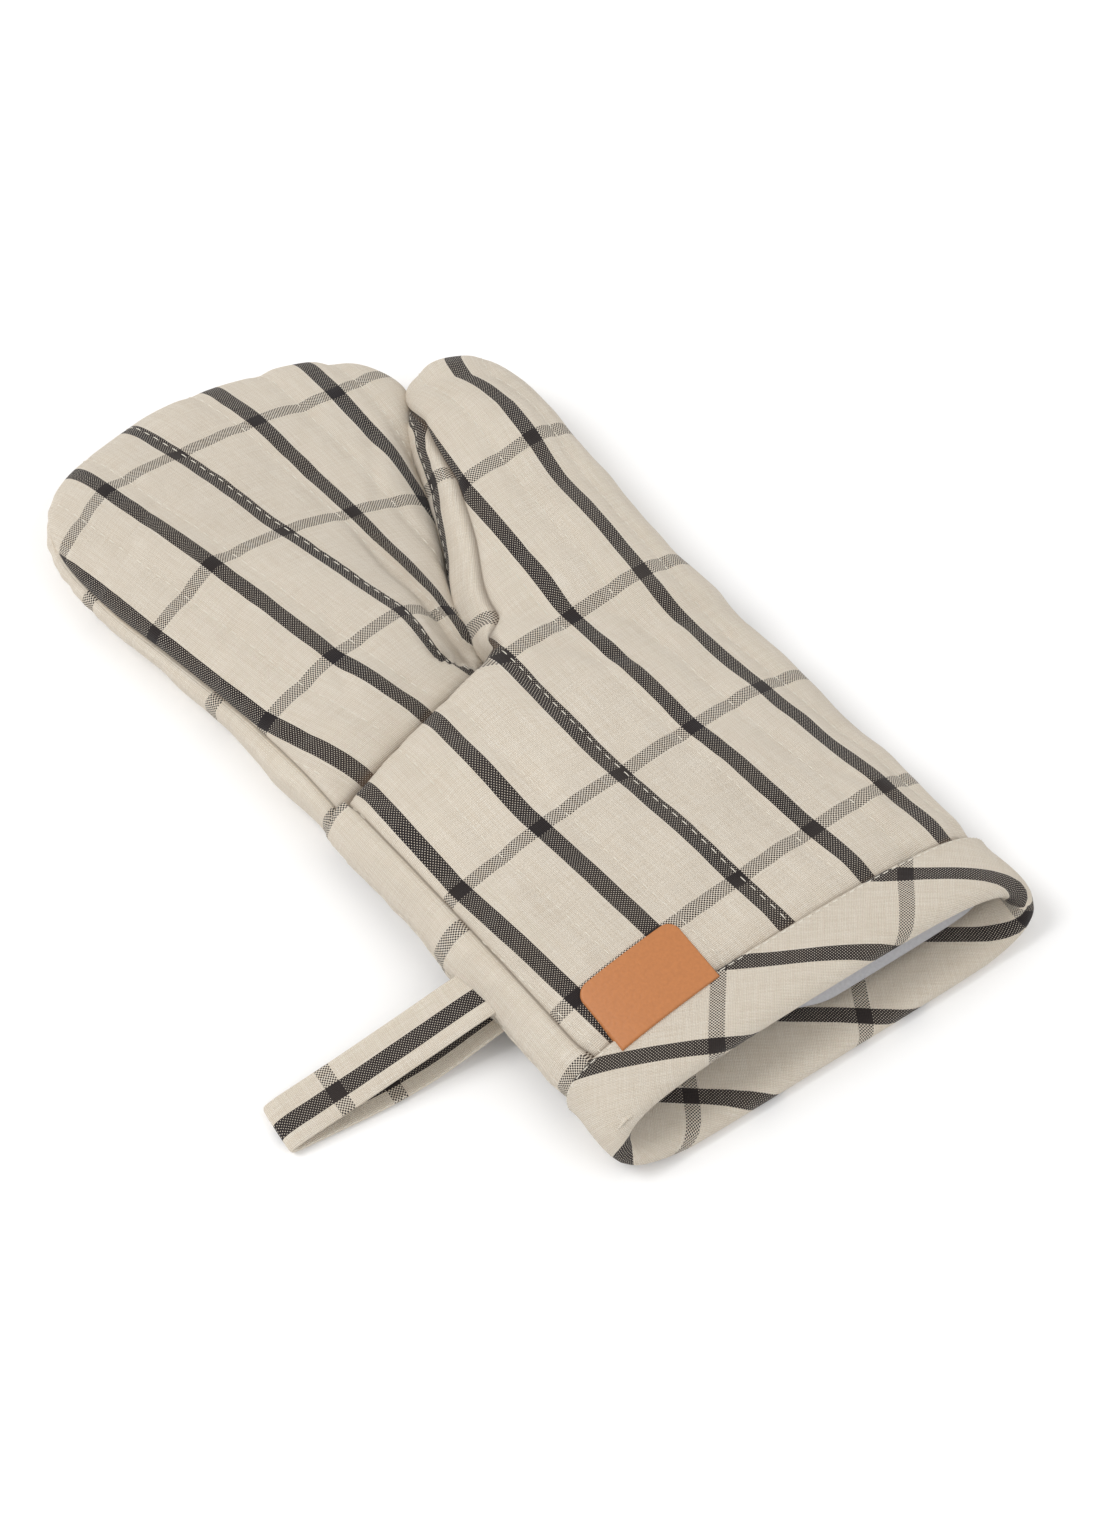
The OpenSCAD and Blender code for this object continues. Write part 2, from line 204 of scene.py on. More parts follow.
def palm_at(v, psi, k=0.0):
    """Palm surface: v from the lip to the crease, psi round the section; k is the inset."""
    half = mix(HALF_MOUTH, HALF_KNUCKLE, v) - k
    x = MID_X + across(psi) * half
    y = mix(lip_y(x), crease_y(x), v)
    return x, y, section_z(lift(psi), palm_top(v), WIDEST_Z, k)


def palm_z(x, y):
    """Height of the palm's front at a place in plan."""
    v = (y - lip_y(x)) / (crease_y(x) - lip_y(x))
    e = np.clip((x - MID_X) / mix(HALF_MOUTH, HALF_KNUCKLE, v), -0.999, 0.999)
    up = (1 - np.abs(e) ** (2 / POWER)) ** (POWER / 2)
    return section_z(up, palm_top(v), WIDEST_Z, 0.0)


def edges_at(left, right, run, v, k):
    """Left and right edge of each row of the fingers or thumb, in the section's own axes."""
    f = v * (1 - k / run)
    l, r = spline(left, f), spline(right, f)
    n = (r - l) / np.linalg.norm(r - l, axis=-1, keepdims=True)
    return l + n * k, r - n * k


def to_plan(st, across_dir, along_dir):
    """Plan coordinates of places given across and along from the crease's corner."""
    x = FOLD[0] + st[..., 0] * across_dir[0] + st[..., 1] * along_dir[0]
    y = FOLD[1] + st[..., 0] * across_dir[1] + st[..., 1] * along_dir[1]
    return x, y


def along(P, along_dir):
    """How far points lie from the crease's corner, along the fingers or the thumb."""
    return (P[..., 0] - FOLD[0]) * along_dir[0] + (P[..., 1] - FOLD[1]) * along_dir[1]


def tip_fade(v, power):
    """Share of the height that is left near a tip: full until close to it, then a round end."""
    return np.maximum(0, 1 - np.maximum(v, 0) ** power) ** (1 / 2.3)


def row_steps(n, crowd):
    """Places of rows from 0 to 1, closer together towards the tip."""
    return 1 - (1 - np.linspace(0, 1, n + 1)) ** crowd


# ------ cloth coordinates

# Where the second lengthwise stripe from the right runs on the palm and thumb, in plan
SECOND_Y = (-180, -136, -56, 4, 70, 107, 130)
SECOND_X = (47, 38.7, 31.6, 31, 37.8, 45, 50)
# Where the cross stripes lie on the front, and how far they slant
V_Y = (-170, -108, -54.6, 5.5, 73, 136, 199)
V_VAL = STRIPE_V * np.arange(-1, 6)
V_TILT = 0.05
# A cross stripe is lost in the crease left of the corner: length of cloth that is tucked in there
TUCKED = 7.0
# Shift of the cloth on the back, against the seam and lengthwise
BACK_U, BACK_V = 6.0, -2.0

# Where the lengthwise stripes lie on the fingers: one row for each place along, one column for each stripe
KNOTS_U = STRIPE_U * np.arange(-2, 3)
STRIPE_Y = (-12, 3, 14, 27, 45, 98, 140, 172)
STRIPE_X = np.array([
    (-59, -29.5, 2, 31, 60),
    (-58.8, -28, 0, 20, 45),
    (-62, -30, -5, 9, 33),
    (-66, -34, -9.7, 3, 26),
    (-71, -38.7, -9.8, 4.6, 26.5),
    (-78, -46.5, -20.5, 2, 29.5),
    (-83, -54, -27, 0.6, 31),
    (-86, -59, -33, -1, 32),
])
# Where three cross stripes lie on the fingers, by the same columns, and the first one's number
CROSS_Y = np.array([
    (42.6, 46, 45, 38, 30),
    (96.3, 102.4, 96.6, 87.4, 80),
    (143.4, 152, 147, 138.8, 132.6),
])
FIRST_CROSS = 3
# On the thumb's inner wall a stripe climbs from its foot to the seam: place along, distance from the seam
WALL_T = (0, 35, 65, 90, 109, 133)
WALL_D = (22, 17, 12, 6, 0, -8)


def arc(P):
    """Length along each row of a grid of points, from its first column."""
    step = np.linalg.norm(np.diff(P, axis=1), axis=2)
    return np.concatenate([np.zeros((len(P), 1)), np.cumsum(step, axis=1)], axis=1)


def anchor_u(P, x_at, u_at):
    """Cloth coordinate across: the length along each row, set to u_at where the row crosses x_at."""
    length = arc(P)
    u = np.empty(length.shape)
    for i in range(len(P)):
        gap = P[i, :, 0] - x_at(P[i, :, 1])
        if gap[0] > 0:
            u[i] = length[i] + gap[0] + u_at
            continue
        j = max(1, int(np.argmax(gap > 0)) if (gap > 0).any() else len(gap) - 1)
        f = gap[j - 1] / (gap[j - 1] - gap[j]) if gap[j] != gap[j - 1] else 0.0
        u[i] = length[i] - (length[i, j - 1] + (length[i, j] - length[i, j - 1]) * f) + u_at
    return u


def finger_uv(P):
    """Cloth coordinates on the front of the fingers, from the stripes' places."""
    x, y = P[..., 0], P[..., 1]
    length = arc(P)
    knots = np.stack([np.interp(y, STRIPE_Y, column) for column in STRIPE_X.T], axis=-1)
    u = np.empty(x.shape)
    for i in range(x.shape[0]):
        for j in range(x.shape[1]):
            u[i, j] = np.interp(x[i, j], knots[i, j], KNOTS_U)
        lo = np.where(x[i] > knots[i, :, 0])[0]
        hi = np.where(x[i] < knots[i, :, -1])[0]
        if len(lo):
            a = lo[0]
            u[i, :a] = u[i, a] - (length[i, a] - length[i, :a])
        if len(hi):
            b = hi[-1]
            u[i, b + 1:] = u[i, b] + (length[i, b + 1:] - length[i, b])
    first, second, third = (np.interp(u, KNOTS_U, row) for row in CROSS_Y)
    low = FIRST_CROSS + (y - first) / (second - first)
    high = FIRST_CROSS + 1 + (y - second) / (third - second)
    return u, STRIPE_V * np.where(y < second, low, high)


# ------ grids of the shell

# Columns left and right of the crease's corner, on the thumb's inner wall and on the side below the seam
COLS_L, COLS_R, WALL_COLS, SIDE_COLS = 64, 60, 26, 40
PALM_ROWS, THUMB_ROWS, FINGER_ROWS, FINGER_COLS = 130, 100, 130, 120
# The palm's rows start under the binding
PALM_START = 0.09

fold_e = (FOLD[0] - MID_X) / HALF_KNUCKLE
FOLD_PSI = math.acos(-np.sign(fold_e) * abs(fold_e) ** (1 / POWER))
psi_right = np.linspace(FOLD_PSI, math.pi, COLS_R + 1)
psi_front = np.concatenate([np.linspace(PALM_SEAM, FOLD_PSI, COLS_L + 1), psi_right[1:]])
psi_back = -np.concatenate([np.linspace(-PALM_SEAM, FOLD_PSI, COLS_L + SIDE_COLS + 1), psi_right[1:]])


def palm_grid(psi):
    """Palm grid, rows from the cuff to the crease and columns from the left seam to the right edge."""
    v, p = np.meshgrid(np.linspace(PALM_START, 1, PALM_ROWS + 1), psi, indexing="ij")
    return np.stack(palm_at(v, p), axis=-1)


def thumb_rows(side, k=0.0):
    """Thumb grid, columns from the crotch side to the outer side; the back starts with its inner wall."""
    v = row_steps(THUMB_ROWS, 1.5)[1:]
    t = (v * THUMB_LEN)[:, None]
    l, r = edges_at(THUMB_L, THUMB_R, THUMB_LEN, v, k)
    w = smooth(t / THUMB_EASE)
    cols = ((psi_right - FOLD_PSI) / (math.pi - FOLD_PSI))[None, :]
    e_flat = ((across(psi_right) - fold_e) / (1 - fold_e) * 2 - 1)[None, :]
    up_flat = lift(psi_right)[None, :]
    seam = np.interp(t, THUMB_SEAM_T, THUMB_SEAM)
    fade = tip_fade(v, 7.0)[:, None]
    top = mix(THUMB_ROOT_Z, THUMB_TOP_Z, smooth(v / 0.5))[:, None]

    def raised(up):
        return section_z(up * fade, top, WIDEST_Z, k)

    if side > 0:
        psi = seam + (math.pi - seam) * cols
        f = mix(e_flat, across(psi), w)
        z = raised(mix(up_flat, lift(psi), w))
    else:
        a = np.linspace(0, 1, WALL_COLS + 1)[1:][None, :]
        psi_w = seam - (seam + WALL_TURN) * a
        f_w = mix(-1.0, across(psi_w), w)
        z_w = mix(mix(top - k, k + REST_GAP, a), raised(lift(psi_w)), w)
        psi_b = WALL_TURN + (math.pi - WALL_TURN) * cols
        f_b = mix(e_flat, across(psi_b), w)
        z_b = raised(-mix(up_flat, lift(psi_b), w))
        f = np.concatenate([f_w, f_b], axis=1)
        z = np.concatenate([z_w, z_b], axis=1)
    st = l[:, None, :] + (r - l)[:, None, :] * (0.5 + 0.5 * f)[..., None]
    x, y = to_plan(st, ACROSS_T, ALONG_T)
    return np.stack([x, y, np.broadcast_to(z, x.shape)], axis=-1)


def finger_grid(side, k=0.0):
    """Finger grid with a hidden flange under the palm's edge at its start."""
    flange = np.linspace(-FLANGE / FINGER_LEN, 0, FLANGE_ROWS + 1)[:-1]
    v = np.concatenate([flange, row_steps(FINGER_ROWS, 1.4)])
    seam = np.interp(v, FINGER_SEAM_V, FINGER_SEAM)[:, None]
    if side > 0:
        psi = seam + (math.pi - seam) * np.linspace(0, 1, FINGER_COLS + 1)[None, :]
    else:
        psi = seam - (math.pi + seam) * np.linspace(0, 1, FINGER_COLS + SIDE_COLS + 1)[None, :]
    l, r = edges_at(FINGER_L, FINGER_R, FINGER_LEN, np.maximum(v, 0), k)
    back = np.minimum(v, 0)[:, None] * FINGER_LEN * np.array([[0.0, 1.0]])
    inset = FLANGE_INSET * smooth(-v * FINGER_LEN / 3)[:, None] * np.array([[1.0, 0.0]])
    l, r = l + back + inset, r + back - inset
    st = l[:, None, :] + (r - l)[:, None, :] * (0.5 + 0.5 * across(psi))[..., None]
    x, y = to_plan(st, ACROSS_F, ALONG_F)
    s, t = st[..., 0], st[..., 1]
    fade = tip_fade(v, 6.0)[:, None]
    top = FINGER_ROOT_Z + FINGER_SWELL * np.sqrt(np.clip(t / SWELL_RUN, 0, 1))
    top = top - FLANGE_DROP * smooth(-t / 4)
    z = section_z(lift(psi) * fade, top, WIDEST_Z, k)
    if side > 0:
        z = np.maximum(z - finger_folds(s, t), DEEPEST_FOLD_Z)
    return np.stack([x, y, z], axis=-1)


# Folds from the crotch up the fingers: depth, place across at the crease, lean, half width, and the places
# along where each starts, where it begins to fade and the length of that
CROTCH_FOLDS = ((5.5, -4.5, 0.17, 2.6, 6, 28, 32), (7.5, -2.4, 0.0, 3.8, 3, 12, 16))
FOLD_START = 8.0
# Depth of the step behind the small facet at the corner, and of the slope down to the thumb
FACET_STEP, THUMB_SIDE_SLOPE = 6.0, 7.0
DEEPEST_FOLD_Z = WIDEST_Z - 8.0


def finger_folds(s, t):
    """Depth of the folds at the crotch; s is the place across and t along, from the crease's corner."""
    depths = []
    for depth, at, lean, width, start, full, fade in CROTCH_FOLDS:
        length = bell(np.maximum(t - full, 0), fade) * smooth((t - start) / FOLD_START)
        depths.append(depth * bell(s - at - lean * t, width) * length)
    behind = t + 0.95 * s
    depths.append(FACET_STEP * smooth(behind / 3) * bell(np.maximum(behind, 0), 11) * smooth((s + 15) / 5))
    depths.append(THUMB_SIDE_SLOPE * smooth((s + 5 - 0.5 * t) / 13) * bell(np.maximum(t, 0), 60))
    return sum(depth**3 for depth in depths) ** (1 / 3)


# ------ quilting and wrinkles

# Leather label: middle in plan, width, height, thickness, corner radius and turn
LABEL_MID = np.array([-41.5, -117.0])
LABEL_W, LABEL_H, LABEL_T, LABEL_R = 39.0, 25.0, 1.5, 4.5
LABEL_TURN = math.radians(-3.0)

# The quilting fades out over this length before the tips, and beside the label
TIP_CALM, LABEL_CALM = 34.0, 8.0
QUILT_DEPTH, QUILT_HALF, GATHER = 1.1, 3.4, 0.12
# Seam groove: depth and half width of its slope and of its bottom, and the puckered bank beside it
SEAM_SLOPE, SEAM_BOTTOM, SEAM_BANK = (0.9, 1.8), (1.5, 0.6), (0.55, 3.0)


def normals(P):
    """Unit normals of a grid of points, outward on the front."""
    n = np.cross(np.gradient(P, axis=1), np.gradient(P, axis=0))
    return n / np.maximum(np.linalg.norm(n, axis=2, keepdims=True), 1e-9)


# Wrinkles: from, to, depth and half width, in plan
WRINKLES = (
    ((10, 8), (34, -22), 1.3, 7), ((-66, -2), (-46, -26), 1.2, 6), ((-30, -2), (-22, -32), 0.8, 6),
    ((66, -118), (56, -92), 1.2, 5), ((20, -126), (14, -98), 1.0, 5), ((-6, -124), (-14, -88), 0.9, 6),
    ((48, -8), (70, -34), 1.0, 7), ((26, 40), (52, 26), 1.0, 6), ((44, 84), (66, 70), 0.8, 6),
    ((-70, 30), (-42, 24), 1.2, 5), ((-74, 70), (-48, 82), 0.9, 7), ((-30, 60), (-44, 34), 0.9, 6),
    ((0, 110), (-24, 122), 0.9, 7), ((30, 112), (14, 88), 1.0, 6), ((-64, 128), (-40, 138), 0.8, 7),
)


def wrinkles(x, y):
    """Depth of the wrinkles, each a groove between two low banks."""
    total = np.zeros_like(x)
    for (ax, ay), (bx, by), depth, width in WRINKLES:
        dx, dy = bx - ax, by - ay
        run = math.hypot(dx, dy)
        t = ((x - ax) * dx + (y - ay) * dy) / run
        off = ((x - ax) * dy - (y - ay) * dx) / run
        inside = bell(np.maximum(0, np.maximum(-t, t - run)), 6.0)
        total += depth * inside * (bell(off, width * 0.5) - 0.45 * bell(off, width * 1.3))
    return total


def to_tip(P):
    """Length along the middle column of a grid, from each row to its last one."""
    steps = np.linalg.norm(np.diff(P[:, P.shape[1] // 2], axis=0), axis=1)
    return np.append(np.cumsum(steps[::-1])[::-1], 0.0)


def over_tip(P):
    """Extra cloth length along each column where a grid turns down at the tip."""
    step = np.diff(P, axis=0)
    extra = np.linalg.norm(step, axis=2) - np.linalg.norm(step[..., :2], axis=2)
    near = smooth((TIP_CALM - to_tip(P)[1:]) / 12.0)[:, None]
    return np.concatenate([np.zeros((1, P.shape[1])), np.cumsum(extra * near, axis=0)])


def beside_label(x, y):
    """Distance in plan from the label's outline, 0 under it."""
    off_x, off_y = np.abs(x - LABEL_MID[0]), np.abs(y - LABEL_MID[1])
    return np.hypot(np.maximum(off_x - LABEL_W / 2, 0), np.maximum(off_y - LABEL_H / 2, 0))


def relief(P, u, side, tip=False, lumps=1.1):
    """Presses the quilting lines and wrinkles into a grid, and draws the cloth in along its left seam."""
    x, y, z = P[..., 0], P[..., 1], P[..., 2]
    length = arc(P)
    from_right = length[:, -1:] - length
    near = (u - QUILT_AT + QUILT_GAP / 2) % QUILT_GAP - QUILT_GAP / 2
    gather = GATHER * np.sin(y * 0.62 + u * 0.21) * bell(near, 6.0)
    press = QUILT_DEPTH * (bell(near, QUILT_HALF) - 0.3) + gather
    uneven = ripple(x, y, 0.0 if side > 0 else 2.0) * lumps - press
    if side > 0:
        calm = smooth(beside_label(x, y) / LABEL_CALM)
        uneven -= wrinkles(x, y)
    else:
        calm = smooth((z - 1.0) / 6.0)
    amount = uneven * smooth(length / 7.0) * smooth(from_right / 9.0) * calm
    for depth, width in (SEAM_SLOPE, SEAM_BOTTOM):
        amount -= depth * bell(length, width)
    pucker = 1.0 + 0.35 * np.sin(y * 0.9) + 0.25 * np.sin(y * 0.53 + 1.0)
    amount += SEAM_BANK[0] * bell(length - 5.0, SEAM_BANK[1]) * pucker
    if tip:
        amount *= smooth(to_tip(P) / TIP_CALM)[:, None]
    return P + normals(P) * side * amount[..., None]


# ------ meshes

class Build:
    """Collects grids of points with cloth coordinates into one mesh."""

    def __init__(self):
        self.points, self.faces, self.uvs, self.seams, self.count = [], [], [], [], 0

    # seam is a painted shade for each point: darker in seams, creases and under the palm's edge
    def grid(self, P, u=0.0, v=0.0, flip=False, closed=False, seam=0.0):
        m, n = P.shape[:2]
        self.points.append(P.reshape(-1, 3))
        self.seams.append(np.broadcast_to(seam, (m, n)).ravel())
        i, j = np.meshgrid(np.arange(m - 1), np.arange(n if closed else n - 1), indexing="ij")
        j2 = (j + 1) % n
        quad = np.stack([i * n + j, i * n + j2, (i + 1) * n + j2, (i + 1) * n + j], axis=-1).reshape(-1, 4)
        if flip:
            quad = quad[:, ::-1]
        uv = np.stack([np.broadcast_to(u, (m, n)), np.broadcast_to(v, (m, n))], axis=-1).reshape(-1, 2)
        self.uvs.append(uv[quad.ravel()])
        self.faces.append(quad + self.count)
        self.count += m * n
        return self

    def make(self, name, merge=0.02):
        """Makes the object, with points nearer than merge joined."""
        mesh = bpy.data.meshes.new(name)
        mesh.from_pydata((np.vstack(self.points) * MM).tolist(), [], np.vstack(self.faces).tolist())
        layer = mesh.uv_layers.new(name="cloth")
        layer.data.foreach_set("uv", (np.vstack(self.uvs) * MM).astype(np.float32).ravel())
        # The painted shade goes into the attribute named seam, which darkens the cloth's colour
        shade = mesh.attributes.new("seam", "FLOAT", "POINT")
        shade.data.foreach_set("value", np.concatenate(self.seams).astype(np.float32))
        obj = bpy.data.objects.new(name, mesh)
        bpy.context.scene.collection.objects.link(obj)
        bm = bmesh.new()
        bm.from_mesh(mesh)
        bmesh.ops.remove_doubles(bm, verts=bm.verts, dist=merge * MM)
        bmesh.ops.dissolve_degenerate(bm, dist=1e-6, edges=bm.edges)
        bm.to_mesh(mesh)
        bm.free()
        mesh.polygons.foreach_set("use_smooth", [True] * len(mesh.polygons))
        return obj


def join_rows(palm, thumb):
    """Thumb rows need the palm's crease row as their first row."""
    return np.concatenate([palm[-1:, COLS_L:], thumb], axis=0)


# How far the palm's front drops into the crease, and over what length
ROLL_DROP, ROLL_RUN = 6.5, 9.0
# How deep the shell is pressed down to the binding's seam, in front and behind, and over what length
CUFF_PRESS, CUFF_PRESS_BACK, CUFF_PRESS_RUN = 1.8, 0.54, 5.0


def crease_roll(P):
    """Rounds the palm's front down into the crease on the finger side."""
    from_edge = np.clip(-along(P, ALONG_F) / ROLL_RUN, 0, 1)
    left = smooth((FOLD[0] + 3 - P[..., 0]) / 8.0)
    drop = ROLL_DROP * (1 - np.sqrt(1 - (1 - from_edge) ** 2))
    Q = P.copy()
    Q[..., 2] -= drop * left * smooth((P[..., 2] - WIDEST_Z) / 8)
    return Q


def cuff_press(P, side):
    """Presses the shell down to its seam with the binding."""
    beyond = np.maximum(P[..., 1] - sewn_edge(P[..., 0], side), 0)
    amount = (CUFF_PRESS if side > 0 else CUFF_PRESS_BACK) * bell(beyond, CUFF_PRESS_RUN)
    return P - normals(P) * side * amount[..., None]


# ------ palm and thumb

# Width of the binding outside, and where the two lips lie: at the middle, and how far they slant
BIND_FRONT, BIND_BACK = 22.5, 28.0
UPPER_LIP, UPPER_SLANT = LIP_MID + 11.5, 0.115
LOWER_LIP, LOWER_SLANT = LIP_MID - 0.5, 0.12


def cuff_lip(x, up):
    """Where the cuff's lip is: the lower lip stands out beyond the upper one."""
    return mix(LOWER_LIP - LOWER_SLANT * x, UPPER_LIP - UPPER_SLANT * x, smooth((up + 1) / 2))


def sewn_edge(x, up):
    """Where the binding is sewn to the shell; up is 1 on the front and -1 on the back."""
    return cuff_lip(x, up) + mix(BIND_BACK, BIND_FRONT, smooth((up + 1) / 2))


front_palm = palm_grid(psi_front)
front_thumb = join_rows(front_palm, thumb_rows(1))
back_palm = palm_grid(psi_back)
BACK_FOLD = COLS_L + SIDE_COLS
seam_col = front_thumb[:, 0]
wall_share = np.linspace(0, 1, WALL_COLS + 1)[1:, None]
first_wall = mix(seam_col[0], back_palm[-1, BACK_FOLD], wall_share)
back_first = np.concatenate([first_wall, back_palm[-1, BACK_FOLD:]])
back_thumb = np.concatenate([back_first[None], thumb_rows(-1)])
back_thumb = np.concatenate([seam_col[:, None], back_thumb], axis=1)


def second_stripe_x(y):
    return np.interp(y, SECOND_Y, SECOND_X)


def front_v(P):
    """Cloth coordinate along the front."""
    lost = TUCKED * smooth((FOLD[0] - P[..., 0]) / 12) * smooth((P[..., 1] + 50) / 45)
    return np.interp(P[..., 1] + V_TILT * P[..., 0], V_Y, V_VAL) - lost


# Cloth coordinates: the thumb's take over from the palm's within its first rows
TIP_SHARE, BACK_THUMB_V = 0.5, -15.0
u_palm = anchor_u(front_palm, second_stripe_x, STRIPE_U)
u_thumb = anchor_u(front_thumb, second_stripe_x, STRIPE_U)
ease = smooth(np.arange(len(u_thumb)) / 14)[:, None]
u_thumb = mix(u_palm[-1:, COLS_L:] + (front_thumb[..., 0] - front_thumb[:1, :, 0]), u_thumb, ease)
v_palm = front_v(front_palm)
v_thumb = front_v(front_thumb) + TIP_SHARE * over_tip(front_thumb)
u_back_palm = arc(back_palm) + BACK_U
v_back_palm = back_palm[..., 1] + BACK_V
seam_along = along(seam_col, ALONG_T)
u_back_thumb = arc(back_thumb) - np.interp(seam_along, WALL_T, WALL_D)[:, None]
v_back_thumb = (seam_along + BACK_THUMB_V)[:, None] + over_tip(back_thumb)

# Relief; the thumb's takes over within its first rows too, and the grids keep meeting
front_palm = crease_roll(cuff_press(relief(front_palm, u_palm, 1), 1))
back_palm = cuff_press(relief(back_palm, u_back_palm, -1), -1)
w_t = smooth(np.arange(len(front_thumb)) / 8)[:, None, None]
plain_thumb = front_thumb + (front_palm[-1, COLS_L:] - front_thumb[0])[None] * (1 - w_t)
front_thumb = mix(plain_thumb, relief(front_thumb, u_thumb, 1, tip=True), w_t)
back_thumb = mix(back_thumb, relief(back_thumb, u_back_thumb, -1, tip=True, lumps=0.5), w_t)
back_thumb[:, 0] = front_thumb[:, 0]
back_thumb[:, -1] = front_thumb[:, -1]
back_palm[:, 0] = front_palm[:, 0]
back_palm[:, -1] = front_palm[:, -1]
back_thumb[0, WALL_COLS + 1:] = back_palm[-1, BACK_FOLD:]

# The palm's edge rolls under at the crease and hides the start of the fingers: steps out and down, the
# length of cloth to each step, and the painted shade on it, darker deeper in the crease
LIP_STEPS = ((0.6, 1.6), (1.1, 4.0), (0.5, 7.5))
LIP_RUN = np.array([0, 1.7, 4.2, 7.6])[:, None]
LIP_PAINTED_SHADE = np.array([0, 0.3, 0.8, 1])[:, None]
front_lip = slice(0, COLS_L + 1)
lip_rows = [front_palm[-1, front_lip]]
for out, down in LIP_STEPS:
    row = lip_rows[0].copy()
    row[:, :2] += ALONG_F * out
    row[:, 2] = np.maximum(np.minimum(row[:, 2], WIDEST_Z), row[:, 2] - down)
    lip_rows.append(row)

# The palm's side does the same, from the seam round to the flat underside
MOST_IN = 6.0
side_lip = slice(0, SIDE_COLS + 25)
inward = normals(back_palm)[-1, side_lip]
from_seam = smooth(np.arange(len(inward)) / 6)[:, None]
side_rows = [back_palm[-1, side_lip]]
for (out, down), lip_row in zip(LIP_STEPS, lip_rows[1:]):
    row = side_rows[0] + inward * min(down, MOST_IN)
    row[:, :2] += ALONG_F * out
    row[:, 2] = np.maximum(row[:, 2], REST_GAP)
    side_rows.append(mix(row + (lip_row[0] - row[0]), row, from_seam))


def painted_seam_shade(P):
    """Painted shade on a grid's first column only, where the seam's groove lies."""
    shade = np.zeros(P.shape[:2])
    shade[:, 0] = 1.0
    return shade


def painted_tip_shade(P):
    """Painted shade along the first column and round the tip, where front and back meet."""
    return np.maximum(painted_seam_shade(P), 0.9 * bell(to_tip(P), 0.8)[:, None])


def painted_binding_shade(P):
    """Painted shade along the sewn edge of the binding, on the front."""
    return 0.9 * bell(P[..., 1] - sewn_edge(P[..., 0], 1) - 0.4, 0.9)


shell = Build()
shell.grid(front_palm, u_palm, v_palm, seam=np.maximum(painted_seam_shade(front_palm), painted_binding_shade(front_palm)))
shell.grid(front_thumb, u_thumb, v_thumb, seam=painted_tip_shade(front_thumb))
shell.grid(back_palm, u_back_palm, v_back_palm, flip=True, seam=painted_seam_shade(back_palm))
shell.grid(back_thumb, u_back_thumb, v_back_thumb, flip=True, seam=painted_tip_shade(back_thumb))
shell.grid(np.stack(lip_rows), u_palm[-1:, front_lip], v_palm[-1:, front_lip] + LIP_RUN, seam=LIP_PAINTED_SHADE)
shell.grid(np.stack(side_rows), u_back_palm[-1:, side_lip], v_back_palm[-1:, side_lip] + LIP_RUN,
           flip=True, seam=LIP_PAINTED_SHADE)
palm_piece = shell.make("palm_and_thumb_cloth")


# ------ fingers

front_f, back_f = finger_grid(1), finger_grid(-1)
u_f, v_f = finger_uv(front_f)
v_f += over_tip(front_f)
u_back_f = arc(back_f) + BACK_U
v_back_f = back_f[..., 1] + BACK_V + over_tip(back_f)
# Painted shade: the cloth darkens over this length towards the crease, under the palm's edge
PAINTED_SHADE_RUN = 3.0
painted_shade_under_palm = smooth((PAINTED_SHADE_RUN - along(front_f, ALONG_F)) / PAINTED_SHADE_RUN)
front_f = relief(front_f, u_f, 1, tip=True)
back_f = relief(back_f, u_back_f, -1, tip=True)
back_f[:, 0] = front_f[:, 0]
back_f[:, -1] = front_f[:, -1]
finger_shell = Build().grid(front_f, u_f, v_f, seam=np.maximum(painted_tip_shade(front_f), painted_shade_under_palm))
finger_shell.grid(back_f, u_back_f, v_back_f, flip=True, seam=painted_tip_shade(back_f))
finger_piece = finger_shell.make("finger_cloth")


# ------ binding of the cuff, and the lining

CUFF_PSI = math.pi - np.linspace(0, 2 * math.pi, 301)
# The hem inside the lower lip reaches this much farther in on the left and hides the lining there
HEM_REACH = 15.0
DEEP_HEM = HEM_REACH * smooth((0.15 - across(CUFF_PSI)) / 0.55) * smooth((0.2 - lift(CUFF_PSI)) / 0.25)
# Length from the lip to the crease, over which a ring's section follows the palm's
CUFF_TO_CREASE = 175.0


def cuff_ring(d, k, hem=0.0):
    """Points round the cuff at distance d from the lip and inset k, from the right side over the top."""
    up = lift(CUFF_PSI)
    d = d + DEEP_HEM * hem
    x, _, z = palm_at(d / CUFF_TO_CREASE, CUFF_PSI, k)
    reach = mix(1.0, BIND_FRONT / BIND_BACK, smooth((up + 1) / 2))
    return np.stack([x, cuff_lip(x, up) + d * reach, np.maximum(z, 0.15)], axis=-1)


# Distance from the lip and inset, from the sewn edge round the lip to the hem inside
BINDING = (
    (28.6, 1.2), (28.3, -0.2), (27.2, -1.0), (24.5, -0.7), (21, -0.8), (17, -1.2), (13, -1.5), (9, -1.6),
    (5.5, -1.4), (2.8, -0.8), (1.0, 0.4), (0.1, 2.0), (0.2, 3.8), (1.4, 5.6), (4, 6.9), (8, 7.6), (12, 7.9),
    (16.5, 7.7), (17.2, 6.9),
)
# The binding's cloth lies at this angle, with these shifts
BIAS = math.radians(34)
BIND_U, BIND_V = 2.0, 33.0
# Only the last rows of the hem reach farther in
HEM_SHARE = np.interp(np.arange(len(BINDING)), (len(BINDING) - 4, len(BINDING) - 2), (0, 1))
ring = np.stack([cuff_ring(d, k, hem) for (d, k), hem in zip(BINDING, HEM_SHARE)])
